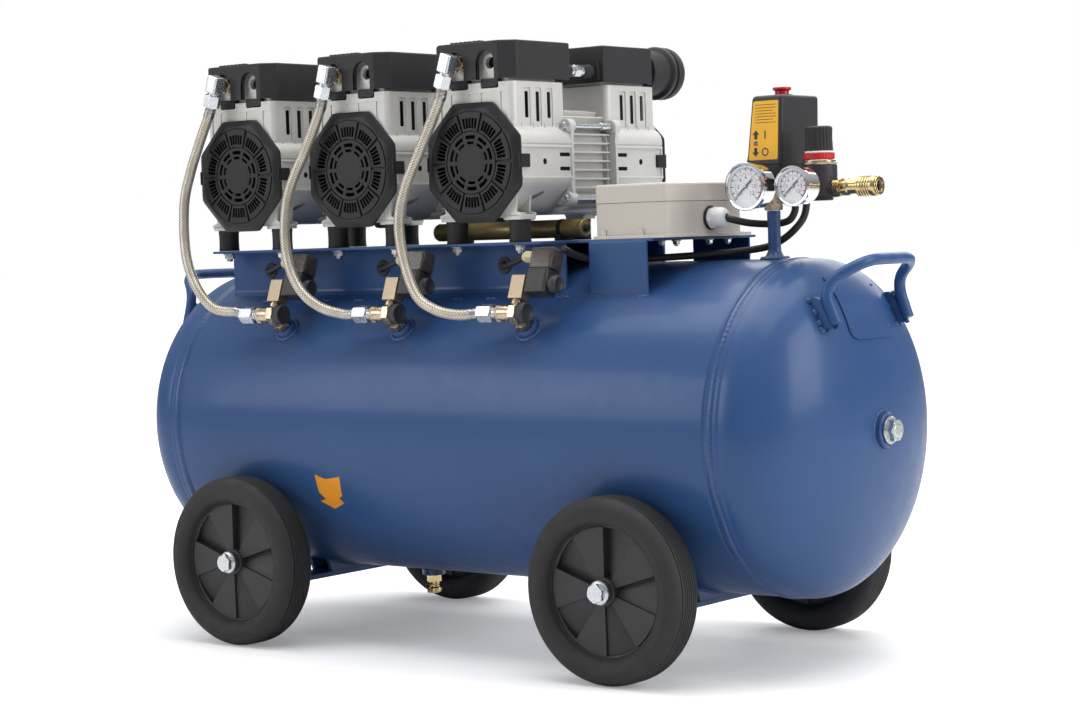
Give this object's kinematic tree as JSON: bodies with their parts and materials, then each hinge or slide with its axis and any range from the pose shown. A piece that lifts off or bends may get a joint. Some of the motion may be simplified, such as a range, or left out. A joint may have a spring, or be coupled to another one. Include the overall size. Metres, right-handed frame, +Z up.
{
  "type": "air compressor",
  "caption": "Horizontal air tank on four wheels with three twin-cylinder motor-pump units, braided hoses, control box, pressure switch, gauges and outlet coupler.",
  "frame": {"origin": "on the floor under the middle of the tank", "axes": "+X along the tank towards the outlet coupler, -Y the side with the hoses, +Z up"},
  "size_m": [1.0342, 0.4618, 0.7045],
  "materials": {
    "tank_blue": "satin",
    "cast_aluminium": "satin cast",
    "black_plastic": "fine texture",
    "tyre": "matt",
    "box_beige": "satin",
    "chrome": "polished",
    "zinc": "zinc plated",
    "brass": "machined",
    "red_plastic": "gloss",
    "braid": "braided wire",
    "nickel_brass": "nickel plated",
    "cable": "matt",
    "film_gold": "gloss",
    "rotor_steel": "plain"
  },
  "bodies": {
    "chassis": {"tank": "tank_blue", "inspection_plug": "zinc", "handle_right": "tank_blue", "handle_left": "tank_blue", "axle_bracket_right": "tank_blue", "axle_bracket_left": "tank_blue", "drain_cock_body": "brass", "motor_deck": "tank_blue", "box_bracket": "tank_blue", "control_box_base": "box_beige", "control_box_lid": "box_beige", "cable_box_to_switch": "cable", "cable_switch_to_valve": "cable", "manifold": "zinc", "tank_gauge": "chrome", "outlet_gauge": "chrome", "pressure_switch": "black_plastic", "regulator_body": "black_plastic", "coupler_body": "brass", "safety_valve": "brass", "capacitor": "film_gold", "unit_1_motor_frame": "cast_aluminium", "unit_1_front_crankcase": "cast_aluminium", "unit_1_rear_crankcase": "cast_aluminium", "unit_1_front_grille": "black_plastic", "unit_1_rear_grille": "black_plastic", "unit_1_front_head_cover": "black_plastic", "unit_1_rear_head_cover": "black_plastic", "unit_1_hose": "braid", "unit_1_check_valve": "nickel_brass", "unit_2_motor_frame": "cast_aluminium", "unit_2_front_crankcase": "cast_aluminium", "unit_2_rear_crankcase": "cast_aluminium", "unit_2_front_grille": "black_plastic", "unit_2_rear_grille": "black_plastic", "unit_2_front_head_cover": "black_plastic", "unit_2_rear_head_cover": "black_plastic", "unit_2_hose": "braid", "unit_2_check_valve": "nickel_brass", "unit_3_motor_frame": "cast_aluminium", "unit_3_front_crankcase": "cast_aluminium", "unit_3_rear_crankcase": "cast_aluminium", "unit_3_front_grille": "black_plastic", "unit_3_rear_grille": "black_plastic", "unit_3_front_head_cover": "black_plastic", "unit_3_rear_head_cover": "black_plastic", "unit_3_hose": "braid", "unit_3_check_valve": "nickel_brass"},
    "wheel_front_left": {"wheel_front_left": "tyre"},
    "wheel_front_right": {"wheel_front_right": "tyre"},
    "wheel_rear_left": {"wheel_rear_left": "tyre"},
    "wheel_rear_right": {"wheel_rear_right": "tyre"},
    "drain_knob": {"drain_knob": "brass"},
    "switch_knob": {"switch_knob": "red_plastic"},
    "regulator_knob": {"regulator_knob": "black_plastic"},
    "coupler_sleeve": {"coupler_sleeve": "brass"},
    "safety_valve_pull": {"safety_valve_pull": "red_plastic"},
    "rotor_1": {"unit_1_rotor_and_fans": "rotor_steel"},
    "rotor_2": {"unit_2_rotor_and_fans": "rotor_steel"},
    "rotor_3": {"unit_3_rotor_and_fans": "rotor_steel"}
  },
  "joints": [
    {"name": "wheel_front_left_spin", "type": "hinge", "parent": "chassis", "child": "wheel_front_left", "pos_m": [-0.277, -0.2004, 0.101], "axis": [0, 1, 0], "continuous": true},
    {"name": "wheel_front_right_spin", "type": "hinge", "parent": "chassis", "child": "wheel_front_right", "pos_m": [0.277, -0.2004, 0.101], "axis": [0, 1, 0], "continuous": true},
    {"name": "wheel_rear_left_spin", "type": "hinge", "parent": "chassis", "child": "wheel_rear_left", "pos_m": [-0.277, 0.2004, 0.101], "axis": [0, 1, 0], "continuous": true},
    {"name": "wheel_rear_right_spin", "type": "hinge", "parent": "chassis", "child": "wheel_rear_right", "pos_m": [0.277, 0.2004, 0.101], "axis": [0, 1, 0], "continuous": true},
    {"name": "rotor_1_spin", "type": "hinge", "parent": "chassis", "child": "rotor_1", "pos_m": [-0.315, 0, 0.563], "axis": [0, 1, 0], "continuous": true},
    {"name": "rotor_2_spin", "type": "hinge", "parent": "chassis", "child": "rotor_2", "pos_m": [-0.13, 0, 0.563], "axis": [0, 1, 0], "continuous": true},
    {"name": "rotor_3_spin", "type": "hinge", "parent": "chassis", "child": "rotor_3", "pos_m": [0.0565, 0, 0.563], "axis": [0, 1, 0], "continuous": true},
    {"name": "switch_knob_pull", "type": "slide", "parent": "chassis", "child": "switch_knob", "axis": [0, 0, 1], "range_m": [0, 0.005]},
    {"name": "regulator_knob_turn", "type": "hinge", "parent": "chassis", "child": "regulator_knob", "pos_m": [0.425, 0, 0.566], "axis": [0, 0, 1], "range_deg": [-540, 540]},
    {"name": "coupler_sleeve_slide", "type": "slide", "parent": "chassis", "child": "coupler_sleeve", "axis": [1, 0, 0], "range_m": [-0.005, 0], "stiffness_N_per_m": 500, "springref_m": 0.002},
    {"name": "safety_valve_pull_slide", "type": "slide", "parent": "chassis", "child": "safety_valve_pull", "axis": [1, 0, 0], "range_m": [-0.004, 0], "stiffness_N_per_m": 800, "springref_m": 0.002},
    {"name": "drain_knob_turn", "type": "hinge", "parent": "chassis", "child": "drain_knob", "pos_m": [-0.145, 0, 0.047], "axis": [0, 0, 1], "range_deg": [0, 360]}
  ]
}
